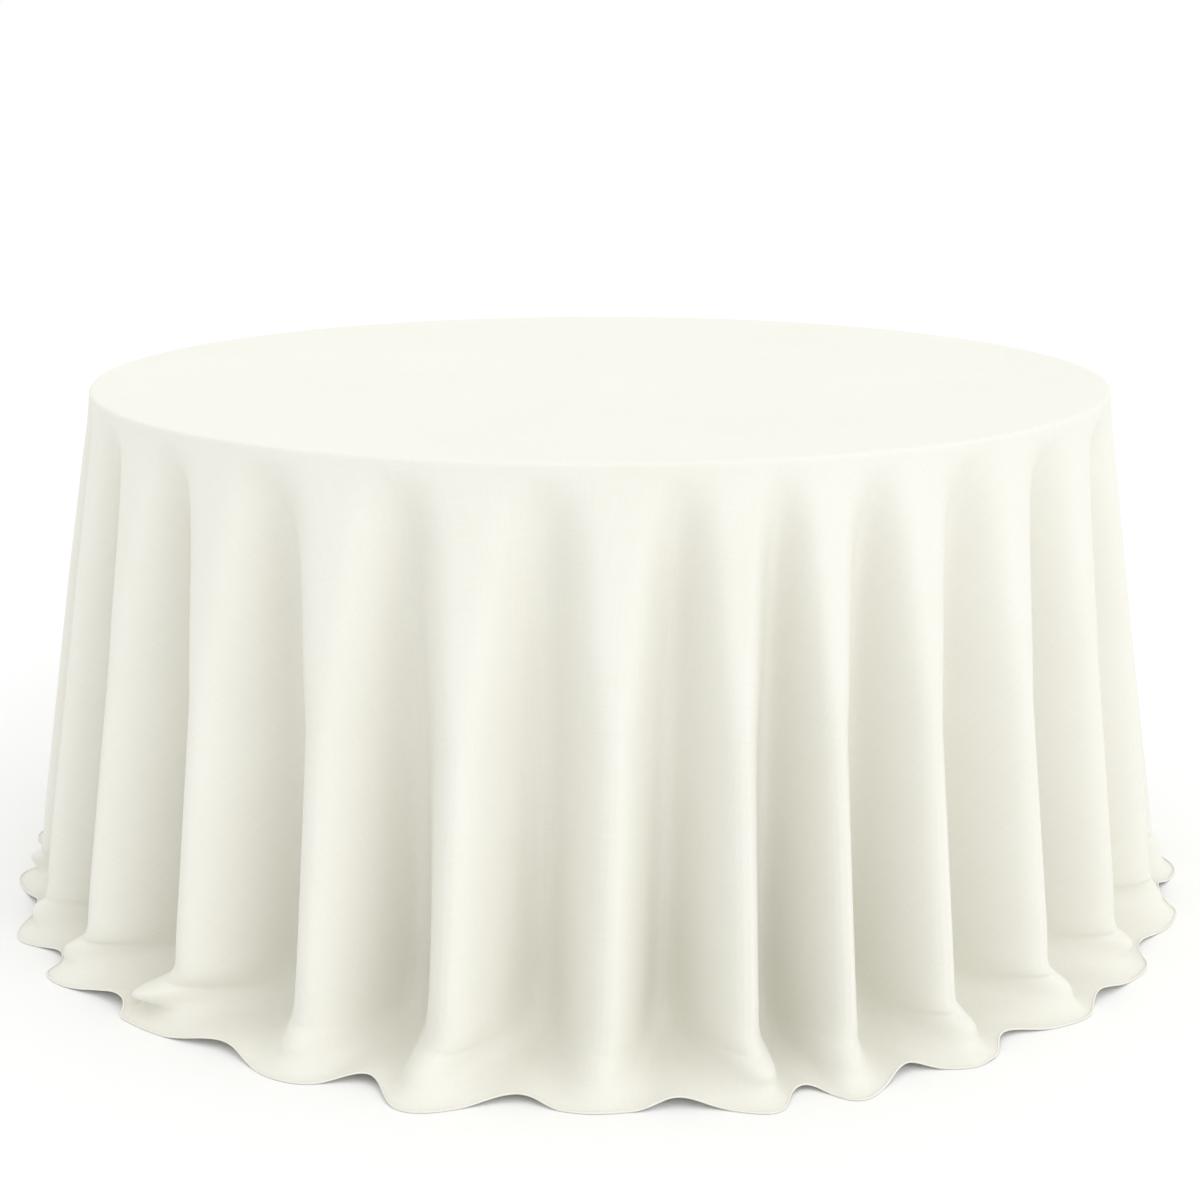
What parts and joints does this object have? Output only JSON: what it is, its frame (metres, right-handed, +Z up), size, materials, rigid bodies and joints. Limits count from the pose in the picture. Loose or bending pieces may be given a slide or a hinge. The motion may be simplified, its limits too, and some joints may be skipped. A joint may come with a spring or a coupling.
{
  "type": "tablecloth on a round table",
  "caption": "Ivory floor-length round tablecloth hanging in deep folds over a round folding table, its hem turned out on the floor.",
  "frame": {"origin": "on the floor under the middle of the table", "axes": "+Z up, +X to the right seen from the front, -Y to the front; the legs fold about lines along Y"},
  "size_m": [1.8322, 1.8345, 0.7638],
  "materials": {
    "ivory_polyester": "smooth matt polyester cloth with a fine plain weave and a soft sheen",
    "plywood": "clear-lacquered birch plywood",
    "pine": "planed softwood",
    "brown_vinyl": "dark brown moulded vinyl",
    "grey_powder_coat": "grey hammered powder coat on steel tube",
    "zinc_plate": "zinc-plated steel",
    "black_plastic": "black moulded plastic"
  },
  "bodies": {
    "table": {"plywood_top": "plywood", "edge_trim": "brown_vinyl", "rear_runner": "pine", "front_runner": "pine", "right_rear_saddle": "zinc_plate", "right_front_saddle": "zinc_plate", "right_rear_saddle_screw_outer": "zinc_plate", "right_rear_saddle_screw_inner": "zinc_plate", "right_front_saddle_screw_outer": "zinc_plate", "right_front_saddle_screw_inner": "zinc_plate", "right_brace_bracket": "zinc_plate", "right_brace_bracket_screw_outer": "zinc_plate", "right_brace_bracket_screw_inner": "zinc_plate", "right_brace_upper_pin": "zinc_plate", "left_rear_saddle": "zinc_plate", "left_front_saddle": "zinc_plate", "left_rear_saddle_screw_outer": "zinc_plate", "left_rear_saddle_screw_inner": "zinc_plate", "left_front_saddle_screw_outer": "zinc_plate", "left_front_saddle_screw_inner": "zinc_plate", "left_brace_bracket": "zinc_plate", "left_brace_bracket_screw_outer": "zinc_plate", "left_brace_bracket_screw_inner": "zinc_plate", "left_brace_upper_pin": "zinc_plate"},
    "right_leg_frame": {"right_rear_leg": "grey_powder_coat", "right_front_leg": "grey_powder_coat", "right_rear_foot_cap": "black_plastic", "right_front_foot_cap": "black_plastic", "right_hinge_tube": "grey_powder_coat", "right_crossbar": "grey_powder_coat", "right_brace_lug": "grey_powder_coat", "right_brace_lower_pin": "zinc_plate"},
    "right_upper_link": {"right_brace_upper_link": "zinc_plate"},
    "right_lower_link": {"right_brace_lower_link": "zinc_plate", "right_brace_knee_rivet": "zinc_plate"},
    "left_leg_frame": {"left_rear_leg": "grey_powder_coat", "left_front_leg": "grey_powder_coat", "left_rear_foot_cap": "black_plastic", "left_front_foot_cap": "black_plastic", "left_hinge_tube": "grey_powder_coat", "left_crossbar": "grey_powder_coat", "left_brace_lug": "grey_powder_coat", "left_brace_lower_pin": "zinc_plate"},
    "left_upper_link": {"left_brace_upper_link": "zinc_plate"},
    "left_lower_link": {"left_brace_lower_link": "zinc_plate", "left_brace_knee_rivet": "zinc_plate"},
    "cloth": {"tablecloth": "ivory_polyester", "rolled_hem": "ivory_polyester"}
  },
  "joints": [
    {"name": "right_leg_fold", "type": "hinge", "parent": "table", "child": "right_leg_frame", "pos_m": [0.56, 0, 0.70861], "axis": [0, 1, 0], "range_deg": [0, 90]},
    {"name": "right_upper_link_turn", "type": "hinge", "parent": "table", "child": "right_upper_link", "pos_m": [0.15, 0, 0.73367], "axis": [0, 1, 0], "range_deg": [-41.4, 0]},
    {"name": "right_lower_link_turn", "type": "hinge", "parent": "right_leg_frame", "child": "right_lower_link", "pos_m": [0.538, 0, 0.34861], "axis": [0, 1, 0], "range_deg": [0, 48.8]},
    {"name": "left_leg_fold", "type": "hinge", "parent": "table", "child": "left_leg_frame", "pos_m": [-0.56, 0, 0.70861], "axis": [0, -1, 0], "range_deg": [0, 90]},
    {"name": "left_upper_link_turn", "type": "hinge", "parent": "table", "child": "left_upper_link", "pos_m": [-0.15, 0, 0.73367], "axis": [0, -1, 0], "range_deg": [-41.4, 0]},
    {"name": "left_lower_link_turn", "type": "hinge", "parent": "left_leg_frame", "child": "left_lower_link", "pos_m": [-0.538, 0, 0.34861], "axis": [0, -1, 0], "range_deg": [0, 48.8]},
    {"name": "cloth_lift", "type": "slide", "parent": "table", "child": "cloth", "axis": [0, 0, 1], "range_m": [0, 0.85], "deforming": ["tablecloth", "rolled_hem"]}
  ],
  "couplings": [
    {"joint": "right_upper_link_turn", "follows": "right_leg_fold", "ratio": -0.45872},
    {"joint": "right_lower_link_turn", "follows": "right_leg_fold", "ratio": 0.54128},
    {"joint": "left_upper_link_turn", "follows": "left_leg_fold", "ratio": -0.45872},
    {"joint": "left_lower_link_turn", "follows": "left_leg_fold", "ratio": 0.54128}
  ]
}
